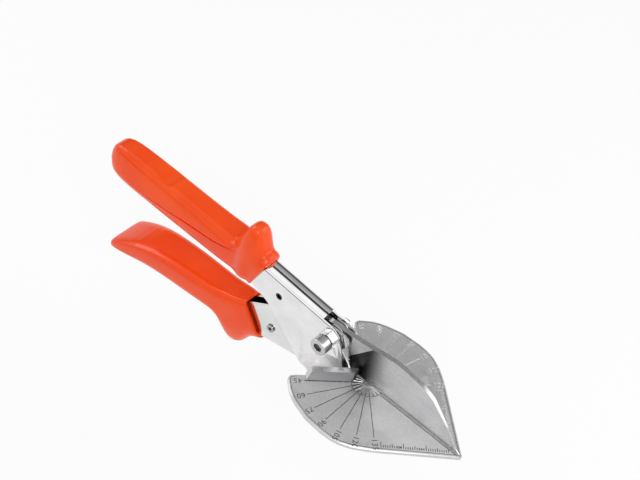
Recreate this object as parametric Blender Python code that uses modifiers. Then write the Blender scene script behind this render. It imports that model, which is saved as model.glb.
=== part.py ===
"""Mitre shears for trim and skirting, modelled at real size in metres, +Z up.

The origin is the lower end of the angle fence's stem, on the line that the fence turns
about. Pieces are drawn from the point above it on the plate's top face, and one empty
holds them all at that height. +X runs along the blade to the tip, +Y to the far wing.
The shears are closed, with the fence at its first stop. Pieces stand in three bodies:
the frame, the lever with the blade, and the fence.
"""
import math

import bmesh
import bpy
from mathutils import Vector

# Clearances, and how far a cutter reaches past what it cuts.
GAP = 0.0003
OVERRUN = 0.012
WELD = 0.00001

# Base plate: two wings meeting in a point, with the blade's groove along the middle.
PLATE_REACH = 0.0538
PLATE_HALF_WIDTH = 0.0354
PLATE_THICKNESS = 0.0025
PLATE_REAR = 0.0098
PLATE_REAR_HALF = 0.0051
GROOVE_WIDTH = 0.0014
GROOVE_DEPTH = 0.0008
PLATE_RIM = 0.0005

# Angle fence: a hub disc flush with the plate, two arms and a stem below.
HUB_RADIUS = 0.0076
HUB_DEPTH = 0.0014
STEM_RADIUS = 0.003
ARM_HEIGHT = 0.0063
ARM_TOP_WIDTH = 0.0033
ARM_FOOT_WIDTH = 0.0039
ARM_FRONT_SLOPE = 0.0005
ARM_REACH = 0.0263
ARM_NOSE = 0.0022
ARM_ANGLE = math.radians(45)
HUB_KEEP_OUT = 0.0052
BLADE_KEEP_OUT = 0.0017
DETENT_ANGLE = math.radians(15)
DETENT_COUNT = 7
DETENT_REACH = 0.0059
DETENT_DEPTH = 0.0006
DETENT_LAND = 0.0022
SPRING_WASHER_RADIUS = 0.0056
SPRING_WASHER_THICKNESS = 0.0008
FENCE_NUT_FLATS = 0.010
FENCE_NUT_HEIGHT = 0.005
STEM_PROUD = 0.0005

# Frame: one sheet folded into an upturned channel, its walls flared into feet.
SHEET = 0.0011
FRAME_HALF_WIDTH = 0.0048
FRAME_FRONT = 0.0119
FRAME_NECK = 0.0244
FRAME_TANG = 0.1087
FRAME_HEIGHT = 0.0279
FOOT_REACH = 0.015
SHOULDER_RADIUS = 0.003
SHOULDER_STEPS = 4
WALL_STEPS = 3
FOOT_STEPS = 8
FOOT_DEPTH = PLATE_THICKNESS + GAP
LIP_REACH = 0.003
LIP_AHEAD = 0.00175
FOOT_RIVET_RADIUS = 0.0013
FOOT_RIVET_HEAD = 0.0022
FOOT_RIVET_HEAD_HEIGHT = 0.0012
FOOT_RIVET_MARGIN = 0.0004
FOOT_RIVET_PLACE_SHARE = 0.156

# Pivot: a socket head screw across the frame, with a lock nut under its head and a
# nut clinched into the far wall.
PIVOT_X = -0.0213
PIVOT_Z = 0.0178
SCREW_RADIUS = 0.0025
SCREW_HEAD_RADIUS = 0.00425
SCREW_HEAD_HEIGHT = 0.005
SCREW_SOCKET_FLATS = 0.004
SCREW_SOCKET_DEPTH = 0.0028
NUT_FLATS = 0.008
NUT_HEIGHT = 0.0043
CLINCH_RADIUS = 0.0034
CLINCH_PROUD = 0.0009
SCREW_PROUD = 0.0004
EDGE_BREAK = 0.0004

# Lever: a channel open at the top, nested in the frame, with the blade between its plates.
LEVER_HALF_WIDTH = 0.00335
LEVER_SHEET = 0.001
LEVER_LENGTH = 0.1187
LEVER_DEPTH = 0.046
WEB_END = 0.0005
BLADE_THICKNESS = 0.0025
BLADE_REACH = 0.0525
BLADE_HEIGHT = 0.0259
BLADE_TANG = 0.0155
EDGE_THICKNESS = 0.0004
GRIND_HEIGHT = 0.0165
SPACER_RADIUS = 0.0045
BLADE_PIN_RADIUS = 0.0015
BLADE_PIN_BACK = 0.0105
BLADE_PIN_DROP = 0.0033
TUBE_RIVET_X = -0.0551
TUBE_RIVET_Z = -0.0094
TUBE_RIVET_RADIUS = 0.0015
TUBE_RIVET_BORE = 0.0009
TUBE_RIVET_LIP = 0.0021
TUBE_RIVET_LIP_HEIGHT = 0.0005

# Return spring on its hollow pin, inside the channels.
SPRING_PIN_X = -0.0531
SPRING_PIN_Z = 0.0165
SPRING_PIN_RADIUS = 0.0016
SPRING_PIN_BORE = 0.00115
WIRE_RADIUS = 0.0005
COIL_RADIUS = 0.0031
COIL_PITCH = 0.00145
COIL_TURNS = 2.25
COIL_POINTS = 10
SPRING_ROOF_LEG = 0.013
SPRING_ROOF_RISE = 0.0026
SPRING_FOOT_LEG = 0.029

# Grips: moulded sleeves pushed over the two tangs.
UPPER_GRIP_START = 0.060
UPPER_GRIP_LENGTH = 0.1054
GUARD_HEIGHT = 0.0448
UPPER_GRIP_HALF_WIDTH = 0.0086
UPPER_CORE_HALF_WIDTH = 0.0072
LOWER_GRIP_START = 0.0595
LOWER_GRIP_LENGTH = 0.0973
LOWER_GRIP_DEPTH = 0.0364
LOWER_GRIP_HALF_WIDTH = 0.0112
GRIP_SIDES = 24

FENCE_SIDES = 48
ROUND_SIDES = 32
SMALL_SIDES = 20
ROOM_SCALE = 2

# Half of the plate's edge from its rear corner to the tip: shares of reach and half width.
PLATE_EDGE_SHARES = (
    (-0.474, 0.588), (-0.500, 0.644), (-0.491, 0.706), (-0.409, 0.816), (-0.345, 0.875),
    (-0.279, 0.918), (-0.130, 0.983), (0.037, 1.000), (0.149, 0.989), (0.223, 0.960),
    (0.316, 0.893), (0.428, 0.771), (0.502, 0.678), (0.974, 0.048), (0.994, 0.023),
    (1.000, 0.0),
)

# The frame's covered stations: back along its length, crown and lower edge by height.
FRAME_REAR_SHARES = (
    (1.000, 0.960, 0.520), (0.844, 0.960, 0.510), (0.678, 0.962, 0.495),
    (0.494, 0.965, 0.465), (0.356, 0.968, 0.425), (0.301, 0.970, 0.400),
    (0.236, 0.964, 0.323), (0.210, 0.955, 0.272), (0.186, 0.946, 0.208),
    (0.126, 0.925, 0.000), (0.062, 0.901, -0.247), (0.000, 0.880, -0.477),
)

# Stations where the wall flares out: back, crown, end of the flat wall, pull of the curve,
# reach of the foot and height of its edge.
FRAME_FLARE_SHARES = (
    (0.865, 0.869, -0.180, -0.323, 0.480, -0.394),
    (0.742, 0.860, -0.090, -0.237, 0.587, -0.308),
    (0.660, 0.853, -0.030, -0.186, 0.667, -0.254),
    (0.598, 0.846, 0.020, -0.151, 0.747, -0.201),
    (0.537, 0.839, 0.050, -0.118, 0.880, -0.111),
)

# Stations ahead of the mouth: back, top, size of the shoulder, reach of the foot, end of
# the flat wall by the foot's depth, how far the foot fans forward in foot reaches, and how
# far the lip turns in.
FRAME_FRONT_SHARES = (
    (0.455, 0.806, 0.80, 0.960, 0.60, 0.00, 0.00),
    (0.373, 0.800, 0.45, 0.987, 0.60, 0.00, 0.00),
    (0.299, 0.763, 0.30, 0.987, 0.40, 0.02, 0.00),
    (0.225, 0.694, 0.20, 0.973, 0.00, 0.09, 0.00),
    (0.143, 0.545, 0.20, 0.933, -0.50, 0.18, 0.00),
    (0.098, 0.430, 0.20, 0.907, -0.95, 0.22, 0.12),
    (0.061, 0.290, 0.20, 0.893, -0.95, 0.26, 0.50),
    (0.020, 0.150, 0.15, 0.860, -0.95, 0.30, 0.85),
    (0.000, 0.000, 0.10, 0.833, -0.95, 0.33, 1.00),
)

# Lever outline about the pivot: shares of its length back and of its depth up.
LEVER_TOP_SHARES = (
    (-1.000, -0.850), (-0.747, -0.685), (-0.579, -0.617), (-0.461, -0.557),
    (-0.425, -0.502), (-0.307, -0.289), (-0.082, 0.056), (-0.048, 0.068),
    (0.045, 0.078), (0.060, 0.064), (0.068, 0.030), (0.069, -0.022), (0.060, -0.074),
    (0.045, -0.126),
)
LEVER_UNDER_SHARES = (
    (-0.006, -0.274), (-0.073, -0.474), (-0.128, -0.654), (-0.146, -0.698),
    (-0.318, -0.804), (-0.452, -0.835), (-0.596, -0.852), (-0.747, -0.909),
    (-1.000, -1.000),
)

# Blade spine from the lever to the tip, and its tang about the pivot.
BLADE_SPINE_SHARES = (
    (-0.225, 0.849), (-0.032, 0.911), (0.114, 0.973), (0.210, 1.000), (0.305, 0.992),
    (0.400, 0.965), (0.495, 0.923), (0.571, 0.865), (0.632, 0.795), (0.813, 0.432),
    (0.950, 0.077), (0.989, 0.023),
)
BLADE_HEEL_SHARE = -0.19
BLADE_TANG_SHARES = (
    (0.581, -0.839), (0.290, -0.516), (0.000, -0.361), (-0.645, -0.484),
    (-0.935, -0.452), (-1.000, -0.194), (-0.871, 0.039), (-0.452, 0.181), (0.000, 0.232),
)
BLADE_GRIND_SHARES = ((-0.225, 0.375), (-0.029, 0.905))

# Grip sections: upper point back and up, lower point back and up, half width, waist.
UPPER_GRIP_SHARES = (
    (1.000, 0.509, 1.000, 0.393, 0.279, 0.500), (0.996, 0.594, 0.997, 0.344, 0.488, 0.500),
    (0.977, 0.683, 0.979, 0.290, 0.721, 0.500), (0.937, 0.732, 0.939, 0.259, 0.895, 0.500),
    (0.854, 0.734, 0.854, 0.246, 0.988, 0.500), (0.712, 0.719, 0.712, 0.241, 1.000, 0.500),
    (0.522, 0.701, 0.522, 0.237, 1.000, 0.500), (0.361, 0.683, 0.365, 0.232, 1.000, 0.500),
    (0.266, 0.665, 0.275, 0.228, 0.988, 0.500), (0.223, 0.692, 0.237, 0.225, 0.965, 0.460),
    (0.190, 0.815, 0.204, 0.223, 0.942, 0.380), (0.156, 0.955, 0.180, 0.221, 0.930, 0.310),
    (0.125, 1.000, 0.161, 0.221, 0.919, 0.300), (0.093, 0.960, 0.142, 0.221, 0.907, 0.320),
    (0.066, 0.826, 0.125, 0.219, 0.884, 0.380), (0.042, 0.705, 0.112, 0.219, 0.860, 0.460),
    (0.017, 0.645, 0.099, 0.219, 0.837, 0.500),
)

# Below the cushion's ledge: back along the grip, and up the guard's height.
CUSHION_LEDGE_SHARES = (
    (0.958, 0.478), (0.920, 0.442), (0.839, 0.413), (0.721, 0.435), (0.602, 0.460),
    (0.477, 0.496), (0.324, 0.533), (0.197, 0.603), (0.197, 0.100), (0.958, 0.100),
)
LOWER_GRIP_SHARES = (
    (0.996, -0.797, 1.000, -0.846, 0.786, 0.500), (0.951, -0.676, 0.946, -0.852, 0.982, 0.500),
    (0.879, -0.527, 0.868, -0.838, 1.000, 0.500), (0.776, -0.396, 0.766, -0.788, 0.964, 0.500),
    (0.663, -0.321, 0.642, -0.747, 0.911, 0.500), (0.519, -0.269, 0.478, -0.698, 0.875, 0.500),
    (0.385, -0.247, 0.324, -0.637, 0.821, 0.500), (0.324, -0.228, 0.267, -0.643, 0.786, 0.500),
    (0.283, -0.206, 0.217, -0.810, 0.741, 0.550), (0.242, -0.179, 0.180, -1.000, 0.714, 0.600),
    (0.200, -0.151, 0.131, -0.989, 0.670, 0.600), (0.159, -0.121, 0.071, -0.786, 0.589, 0.550),
    (0.123, -0.088, -0.000, -0.602, 0.491, 0.500),
)
UPPER_ROUNDNESS_SHARES = (2.5, 2.8)
LOWER_ROUNDNESS_SHARES = (3.4, 3.0)

for old in list(bpy.data.objects):
    bpy.data.objects.remove(old, do_unlink=True)

parts = bpy.data.collections.new("mitre_shears")
cutters = bpy.data.collections.new("cutters")
bpy.context.scene.collection.children.link(parts)
bpy.context.scene.collection.children.link(cutters)

washer_top = -PLATE_THICKNESS - GAP
nut_top = washer_top - SPRING_WASHER_THICKNESS - GAP
stem_end = nut_top - FENCE_NUT_HEIGHT - STEM_PROUD
plate_level = bpy.data.objects.new("plate_level", None)
plate_level.location = (0, 0, -stem_end)
lever_axis = bpy.data.objects.new("lever_axis", None)
lever_axis.location = (PIVOT_X, 0, PIVOT_Z)
fence_axis = bpy.data.objects.new("fence_axis", None)
parts.objects.link(plate_level)
for axis in (lever_axis, fence_axis):
    parts.objects.link(axis)
    axis.parent = plate_level
bpy.context.view_layer.update()


def material(name, colour, roughness, metallic):
    """One plain material for one piece."""
    made = bpy.data.materials.new(name)
    made.use_nodes = True
    shader = made.node_tree.nodes["Principled BSDF"]
    shader.inputs["Base Color"].default_value = (*colour, 1)
    shader.inputs["Roughness"].default_value = roughness
    shader.inputs["Metallic"].default_value = metallic
    return made


ORANGE = ((0.80, 0.075, 0.012), 0.28, 0.0)
CHROME = ((0.78, 0.78, 0.79), 0.12, 1.0)
SATIN = ((0.60, 0.60, 0.61), 0.35, 1.0)
GROUND = ((0.52, 0.52, 0.53), 0.30, 1.0)
NICKEL = ((0.70, 0.69, 0.66), 0.22, 1.0)


def keep(piece, look=None, body=None):
    """Put a piece in the parts with its material, and on its body's axis if it moves."""
    for holder in list(piece.users_collection):
        holder.objects.unlink(piece)
    parts.objects.link(piece)
    if look:
        piece.data.materials.clear()
        piece.data.materials.append(material(piece.name, *look))
    piece.parent = body or plate_level
    if body:
        piece.matrix_parent_inverse = body.matrix_basis.inverted()
    return piece


def cutter(piece):
    """Put a piece among the cutters, shown as wire and left out of renders."""
    piece.parent = plate_level
    for holder in list(piece.users_collection):
        holder.objects.unlink(piece)
    cutters.objects.link(piece)
    piece.hide_render = True
    piece.display_type = "WIRE"
    return piece


def combine(piece, other, how="DIFFERENCE"):
    """Cut or join a piece with another."""
    step = piece.modifiers.new(how.title(), "BOOLEAN")
    step.operation = how
    step.object = cutter(other)


def rod(name, radius, start, end, sides=ROUND_SIDES):
    """A cylinder between two points on one axis."""
    start = Vector(start)
    end = Vector(end)
    bpy.ops.mesh.primitive_cylinder_add(
        radius=radius, depth=(end - start).length, vertices=sides,
        location=(start + end) / 2, rotation=(end - start).to_track_quat("Z", "Y").to_euler())
    made = bpy.context.object
    made.name = name
    made.data.name = name
    made.data.shade_smooth()
    made.data.set_sharp_from_angle(angle=math.radians(40))
    return made


def across(name, radius, x, z, near, far, sides=ROUND_SIDES):
    """A cylinder across the shears at x and z."""
    return rod(name, radius, (x, near, z), (x, far, z), sides)


def slab(name, outline, low, high, upright=False):
    """An outline with thickness: flat between two heights, or upright between two sides."""
    curve = bpy.data.curves.new(name, "CURVE")
    curve.dimensions = "2D"
    curve.fill_mode = "BOTH"
    curve.extrude = (high - low) / 2
    line = curve.splines.new("POLY")
    line.points.add(len(outline) - 1)
    for point, place in zip(line.points, outline):
        point.co = (place[0], place[1], 0, 1)
    line.use_cyclic_u = True
    drawn = bpy.data.objects.new(name + "_outline", curve)
    parts.objects.link(drawn)
    middle = (low + high) / 2
    if upright:
        drawn.rotation_euler = (math.pi / 2, 0, 0)
        drawn.location = (0, middle, 0)
    else:
        drawn.location = (0, 0, middle)
    bpy.context.view_layer.update()
    seen = drawn.evaluated_get(bpy.context.evaluated_depsgraph_get())
    mesh = bpy.data.meshes.new_from_object(seen)
    mesh.name = name
    shell = bmesh.new()
    shell.from_mesh(mesh)
    bmesh.ops.remove_doubles(shell, verts=shell.verts, dist=WELD)
    bmesh.ops.recalc_face_normals(shell, faces=shell.faces)
    shell.to_mesh(mesh)
    shell.free()
    made = bpy.data.objects.new(name, mesh)
    made.matrix_world = drawn.matrix_world
    bpy.data.objects.remove(drawn)
    parts.objects.link(made)
    return made


def shifted(line, distance):
    """An open line moved sideways, to its left where the distance is positive."""
    moved = []
    for index, here in enumerate(line):
        before = Vector(line[max(index - 1, 0)])
        after = Vector(line[min(index + 1, len(line) - 1)])
        way = (after - before).normalized()
        moved.append((here[0] - way.y * distance, here[1] + way.x * distance))
    return moved


def loft(name, rings):
    """Closed rings of equal count, skinned from end to end."""
    shell = bmesh.new()
    rows = [[shell.verts.new(point) for point in ring] for ring in rings]
    count = len(rows[0])
    for back, front in zip(rows, rows[1:]):
        for index in range(count):
            after = (index + 1) % count
            shell.faces.new((back[index], back[after], front[after], front[index]))
    shell.faces.new(rows[0])
    shell.faces.new(rows[-1])
    bmesh.ops.recalc_face_normals(shell, faces=shell.faces)
    mesh = bpy.data.meshes.new(name)
    shell.to_mesh(mesh)
    shell.free()
    made = bpy.data.objects.new(name, mesh)
    mesh.shade_smooth()
    mesh.set_sharp_from_angle(angle=math.radians(50))
    parts.objects.link(made)
    return made


def nut(name, flats, bore, x, z, near, far):
    """A hexagon nut across the shears."""
    body = across(name, flats / math.sqrt(3), x, z, near, far, sides=6)
    combine(body, across(name + "_bore", bore, x, z, near - OVERRUN, far + OVERRUN))
    return body


def break_edges(piece, width, sides=2):
    """Round a piece's sharp edges a little."""
    step = piece.modifiers.new("Bevel", "BEVEL")
    step.width = width
    step.segments = sides
    step.limit_method = "ANGLE"
    step.angle_limit = math.radians(40)


# The base plate.
half_edge = [(-PLATE_REAR, PLATE_REAR_HALF)]
half_edge += [(x * PLATE_REACH, y * PLATE_HALF_WIDTH) for x, y in PLATE_EDGE_SHARES]
plate_edge = half_edge + [(x, -y) for x, y in reversed(half_edge[:-1])]
base_plate = slab("base_plate", plate_edge, -PLATE_THICKNESS, 0)
plate_break = base_plate.modifiers.new("Bevel", "BEVEL")
plate_break.width = PLATE_RIM
plate_break.segments = 1
plate_break.limit_method = "ANGLE"
plate_break.angle_limit = math.radians(60)
groove = slab("groove", ((0, -GROOVE_WIDTH / 2), (PLATE_REACH + OVERRUN, -GROOVE_WIDTH / 2),
                         (PLATE_REACH + OVERRUN, GROOVE_WIDTH / 2), (0, GROOVE_WIDTH / 2)),
              -GROOVE_DEPTH, OVERRUN)
combine(base_plate, groove)
combine(base_plate, rod("hub_seat", HUB_RADIUS + GAP, (0, 0, -HUB_DEPTH - GAP),
                        (0, 0, OVERRUN)))
combine(base_plate, rod("stem_hole", STEM_RADIUS + GAP, (0, 0, -PLATE_THICKNESS - OVERRUN),
                        (0, 0, OVERRUN)))

# The frame: half of its sheet is drawn station by station, mirrored and thickened.
edge_start = Vector(half_edge[0])
edge_way = Vector(half_edge[1]) - edge_start
edge_in = Vector((edge_way.y, -edge_way.x)).normalized()
rivet_place = edge_start + edge_way * FOOT_RIVET_PLACE_SHARE
rivet_place += edge_in * (FOOT_RIVET_RADIUS + FOOT_RIVET_MARGIN)
foot_rivet_places = [Vector((rivet_place.x, side * rivet_place.y)) for side in (-1, 1)]


def shoulder(crown, radius):
    """The rounded fold between roof and wall, from its top to its end."""
    turn = math.pi / 2 / SHOULDER_STEPS
    return [(FRAME_HALF_WIDTH - radius + radius * math.sin(turn * step),
             crown - radius + radius * math.cos(turn * step))
            for step in range(SHOULDER_STEPS + 1)]


def wall(top, low, pull, reach, edge):
    """The flat wall below the shoulder and the flare that follows it."""
    line = [(FRAME_HALF_WIDTH, top + (low - top) * step / WALL_STEPS)
            for step in range(1, WALL_STEPS + 1)]
    for step in range(1, FOOT_STEPS + 1):
        share = step / FOOT_STEPS
        line.append((FRAME_HALF_WIDTH + (reach - FRAME_HALF_WIDTH) * share ** 2,
                     low * (1 - share) ** 2 + 2 * pull * share * (1 - share)
                     + edge * share ** 2))
    return line


def station_line(x, half, ahead=0):
    """One station's points, with the foot fanned forward."""
    first = len(half) - FOOT_STEPS
    line = []
    for index, (y, z) in enumerate(half):
        fan = max(index - first + 1, 0) / FOOT_STEPS
        line.append((x + ahead * fan ** 2, -y, z))
    return line


stations = []
crown_line = []
under_line = []
for back, crown_share, low_share in FRAME_REAR_SHARES:
    x = -FRAME_FRONT - FRAME_NECK - back * FRAME_TANG
    crown = crown_share * FRAME_HEIGHT
    edge = low_share * FRAME_HEIGHT
    crown_line.append((x, crown))
    under_line.append((x, edge))
    fold = shoulder(crown, SHOULDER_RADIUS)
    low = (fold[-1][1] + edge) / 2
    half = [(0, crown)] + fold + wall(fold[-1][1], low, (low + edge) / 2,
                                      FRAME_HALF_WIDTH, edge)
    stations.append(station_line(x, half))
for back, crown_share, low_share, pull, reach, edge in FRAME_FLARE_SHARES:
    x = -FRAME_FRONT - back * FRAME_NECK
    crown = crown_share * FRAME_HEIGHT
    fold = shoulder(crown, SHOULDER_RADIUS)
    half = [(0, crown)] + fold + wall(fold[-1][1], low_share * FRAME_HEIGHT,
                                      pull * FRAME_HEIGHT, reach * FOOT_REACH,
                                      edge * FRAME_HEIGHT)
    stations.append(station_line(x, half))
mouth = len(FRAME_REAR_SHARES) + 2
half_fold = 1 + SHOULDER_STEPS // 2
for back, top_share, fold_share, reach, low_share, ahead, lip in FRAME_FRONT_SHARES:
    x = -FRAME_FRONT - back * FRAME_NECK
    top = top_share * FRAME_HEIGHT
    radius = SHOULDER_RADIUS * fold_share
    fold = shoulder(top + radius * (1 - math.cos(math.pi / 4)), radius)
    half = [(0, top)] + fold + wall(fold[-1][1], low_share * FOOT_DEPTH,
                                    -FOOT_DEPTH - GAP / 2, reach * FOOT_REACH, -FOOT_DEPTH)
    line = station_line(x, half, ahead * FOOT_REACH)
    turned = half_fold - 1
    line[turned] = (x + lip * LIP_AHEAD, line[half_fold][1] + lip * LIP_REACH,
                    line[half_fold][2])
    stations.append(line)
lip_start = len(stations) - sum(1 for row in FRAME_FRONT_SHARES if row[-1] > 0)
sheet = bmesh.new()
grid = {}
for column in range(len(stations) - 1):
    first_row = 0
    if column >= mouth:
        first_row = half_fold
    if column >= lip_start:
        first_row = half_fold - 1
    for row in range(first_row, len(stations[0]) - 1):
        corners = ((column, row), (column, row + 1), (column + 1, row + 1),
                   (column + 1, row))
        for key in corners:
            if key not in grid:
                grid[key] = sheet.verts.new(stations[key[0]][key[1]])
        sheet.faces.new([grid[key] for key in corners])
frame_mesh = bpy.data.meshes.new("frame_channel")
sheet.to_mesh(frame_mesh)
sheet.free()
frame_channel = bpy.data.objects.new("frame_channel", frame_mesh)
parts.objects.link(frame_channel)
frame_mirror = frame_channel.modifiers.new("Mirror", "MIRROR")
frame_mirror.use_axis = (False, True, False)
frame_mirror.merge_threshold = WELD
frame_sheet = frame_channel.modifiers.new("Solidify", "SOLIDIFY")
frame_sheet.thickness = SHEET
frame_sheet.offset = -1
frame_sheet.use_even_offset = True
combine(frame_channel, across("pivot_hole", SCREW_RADIUS + GAP, PIVOT_X, PIVOT_Z,
                              -OVERRUN, OVERRUN))
combine(frame_channel, across("clinch_hole", CLINCH_RADIUS + GAP, PIVOT_X, PIVOT_Z, 0,
                              OVERRUN))
combine(frame_channel, across("pin_hole", SPRING_PIN_RADIUS + GAP, SPRING_PIN_X,
                              SPRING_PIN_Z, -OVERRUN, OVERRUN, SMALL_SIDES))
keep(frame_channel, CHROME)

# The rivets through the wings and the feet, ground flush on top.
foot_bottom = -FOOT_DEPTH - SHEET - GAP
for place, side_name in zip(foot_rivet_places, ("near", "far")):
    hole_start = (*place, -OVERRUN)
    hole_end = (*place, OVERRUN)
    for plate in (base_plate, frame_channel):
        combine(plate, rod("rivet_hole_" + side_name, FOOT_RIVET_RADIUS + GAP, hole_start,
                           hole_end, SMALL_SIDES))
    foot_rivet = rod("foot_rivet_" + side_name, FOOT_RIVET_RADIUS,
                     (*place, foot_bottom - FOOT_RIVET_HEAD_HEIGHT / 2), (*place, 0),
                     SMALL_SIDES)
    head = rod("rivet_head_" + side_name, FOOT_RIVET_HEAD,
               (*place, foot_bottom - FOOT_RIVET_HEAD_HEIGHT), (*place, foot_bottom),
               SMALL_SIDES)
    combine(foot_rivet, head, "UNION")
    keep(foot_rivet, SATIN)
keep(base_plate, SATIN)

# The angle fence: hub, arms and stem in one casting.
fence = rod("angle_fence", HUB_RADIUS, (0, 0, -HUB_DEPTH), (0, 0, 0), FENCE_SIDES)
arm_end = ARM_REACH + ARM_NOSE


def arm_outline(low_front, low_back, high_front, high_back, turn, flip):
    """Corners of an arm's lower and upper faces in the fence's frame."""
    rings = []
    for front, back, reach, height in (
            (low_front, low_back, arm_end, -HUB_DEPTH / 2),
            (high_front, high_back, ARM_REACH, ARM_HEIGHT)):
        ring = []
        for along, offset in ((0, front), (reach, front), (reach, back), (0, back)):
            x = along * flip
            y = offset
            ring.append((x * math.cos(turn) - y * math.sin(turn),
                         x * math.sin(turn) + y * math.cos(turn), height))
        rings.append(ring)
    return rings


for side_name, flip in (("near", -1), ("far", 1)):
    arm = loft("arm_" + side_name, arm_outline(0, ARM_FOOT_WIDTH, ARM_FRONT_SLOPE,
                                               ARM_TOP_WIDTH, ARM_ANGLE, flip))
    room = arm_end + OVERRUN
    if flip < 0:
        low_corner = (-room, -room)
        high_corner = (-HUB_KEEP_OUT, -BLADE_KEEP_OUT)
    else:
        low_corner = (BLADE_KEEP_OUT, HUB_KEEP_OUT)
        high_corner = (room, room)
    clear = slab("arm_room_" + side_name, ((low_corner[0], low_corner[1]),
                                           (high_corner[0], low_corner[1]),
                                           (high_corner[0], high_corner[1]),
                                           (low_corner[0], high_corner[1])),
                 -OVERRUN, OVERRUN)
    combine(arm, clear, "INTERSECT")
    under = rod("arm_under_" + side_name, room * ROOM_SCALE, (0, 0, -OVERRUN), (0, 0, GAP),
                FENCE_SIDES)
    inside = rod("arm_hub_" + side_name, HUB_RADIUS, (0, 0, -OVERRUN * ROOM_SCALE),
                 (0, 0, OVERRUN), FENCE_SIDES)
    combine(under, inside)
    combine(arm, under)
    combine(fence, arm, "UNION")
stem = rod("stem", STEM_RADIUS, (0, 0, stem_end), (0, 0, -HUB_DEPTH / 2))
combine(fence, stem, "UNION")
for index in range(DETENT_COUNT):
    turn = -index * DETENT_ANGLE
    length = DETENT_REACH * 2
    bpy.ops.mesh.primitive_cube_add(size=length, rotation=(math.pi / 4, 0, turn))
    detent = bpy.context.object
    detent.name = "detent_%d" % index
    thin = DETENT_DEPTH * math.sqrt(2) / length
    detent.scale = (1, thin, thin)
    combine(fence, detent)
combine(fence, rod("detent_land", DETENT_LAND, (0, 0, -HUB_DEPTH / 2), (0, 0, -WELD)), "UNION")
keep(fence, SATIN, fence_axis)
spring_washer = rod("fence_spring_washer", SPRING_WASHER_RADIUS,
                    (0, 0, washer_top - SPRING_WASHER_THICKNESS), (0, 0, washer_top))
combine(spring_washer, rod("spring_washer_bore", STEM_RADIUS + GAP, (0, 0, -OVERRUN),
                           (0, 0, OVERRUN)))
keep(spring_washer, NICKEL, fence_axis)
fence_nut = rod("fence_nut", FENCE_NUT_FLATS / math.sqrt(3),
                (0, 0, nut_top - FENCE_NUT_HEIGHT), (0, 0, nut_top), 6)
combine(fence_nut, rod("fence_nut_bore", STEM_RADIUS + GAP, (0, 0, -OVERRUN),
                       (0, 0, OVERRUN)))
keep(fence_nut, NICKEL, fence_axis)

# The pivot screw with its nuts and washer.
wall_face = FRAME_HALF_WIDTH + GAP
collar_face = wall_face + NUT_HEIGHT
head_face = collar_face + GAP
clinch_face = FRAME_HALF_WIDTH + CLINCH_PROUD
screw_end = clinch_face + SCREW_PROUD
pivot_screw = across("pivot_screw", SCREW_RADIUS, PIVOT_X, PIVOT_Z,
                     -head_face - SCREW_HEAD_HEIGHT / 2, screw_end)
screw_head = across("screw_head", SCREW_HEAD_RADIUS, PIVOT_X, PIVOT_Z,
                    -head_face - SCREW_HEAD_HEIGHT, -head_face)
break_edges(screw_head, EDGE_BREAK)
combine(pivot_screw, screw_head, "UNION")
combine(pivot_screw, across("socket", SCREW_SOCKET_FLATS / math.sqrt(3), PIVOT_X, PIVOT_Z,
                            -head_face - SCREW_HEAD_HEIGHT - OVERRUN,
                            -head_face - SCREW_HEAD_HEIGHT + SCREW_SOCKET_DEPTH, 6))
keep(pivot_screw, NICKEL)
keep(nut("pivot_collar", NUT_FLATS, SCREW_RADIUS + GAP, PIVOT_X, PIVOT_Z, -collar_face,
         -wall_face), NICKEL)
pivot_nut = across("pivot_nut", CLINCH_RADIUS, PIVOT_X, PIVOT_Z, FRAME_HALF_WIDTH - SHEET,
                   clinch_face)
combine(pivot_nut, across("pivot_nut_bore", SCREW_RADIUS + GAP, PIVOT_X, PIVOT_Z,
                          -OVERRUN, OVERRUN))
keep(pivot_nut, NICKEL)

# The lever channel: an upright slab with its inside taken out above the web.
lever_top = [(PIVOT_X + x * LEVER_LENGTH, PIVOT_Z + z * LEVER_DEPTH)
             for x, z in LEVER_TOP_SHARES]
lever_under = [(PIVOT_X + x * LEVER_LENGTH, PIVOT_Z + z * LEVER_DEPTH)
               for x, z in LEVER_UNDER_SHARES]
lever = slab("lever_channel", lever_top + lever_under, -LEVER_HALF_WIDTH,
             LEVER_HALF_WIDTH, upright=True)
web_line = shifted(lever_under, -LEVER_SHEET)
web_line[0] = (web_line[0][0] - WEB_END, web_line[0][1])
front = lever_top[-1][0] + OVERRUN
inside = [(front, web_line[0][1] - OVERRUN), (web_line[0][0], web_line[0][1] - OVERRUN)]
inside += web_line
inside += [(web_line[-1][0] - OVERRUN, web_line[-1][1]),
           (web_line[-1][0] - OVERRUN, PIVOT_Z + OVERRUN), (front, PIVOT_Z + OVERRUN)]
combine(lever, slab("lever_inside", inside, LEVER_SHEET - LEVER_HALF_WIDTH,
                    LEVER_HALF_WIDTH - LEVER_SHEET, upright=True))
pin_x = PIVOT_X - BLADE_PIN_BACK
pin_z = PIVOT_Z - BLADE_PIN_DROP
combine(lever, across("lever_pivot", SCREW_RADIUS + GAP, PIVOT_X, PIVOT_Z, -OVERRUN,
                      OVERRUN))
combine(lever, across("lever_pin", BLADE_PIN_RADIUS + GAP, pin_x, pin_z, -OVERRUN, OVERRUN,
                      SMALL_SIDES))
combine(lever, across("lever_tube", TUBE_RIVET_RADIUS + GAP, TUBE_RIVET_X, TUBE_RIVET_Z,
                      -OVERRUN, OVERRUN, SMALL_SIDES))
keep(lever, CHROME, lever_axis)
blade_pin = across("blade_pin", BLADE_PIN_RADIUS, pin_x, pin_z, -LEVER_HALF_WIDTH,
                   LEVER_HALF_WIDTH, SMALL_SIDES)
keep(blade_pin, GROUND, lever_axis)
lip_in = LEVER_HALF_WIDTH + GAP
lip_out = lip_in + TUBE_RIVET_LIP_HEIGHT
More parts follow.
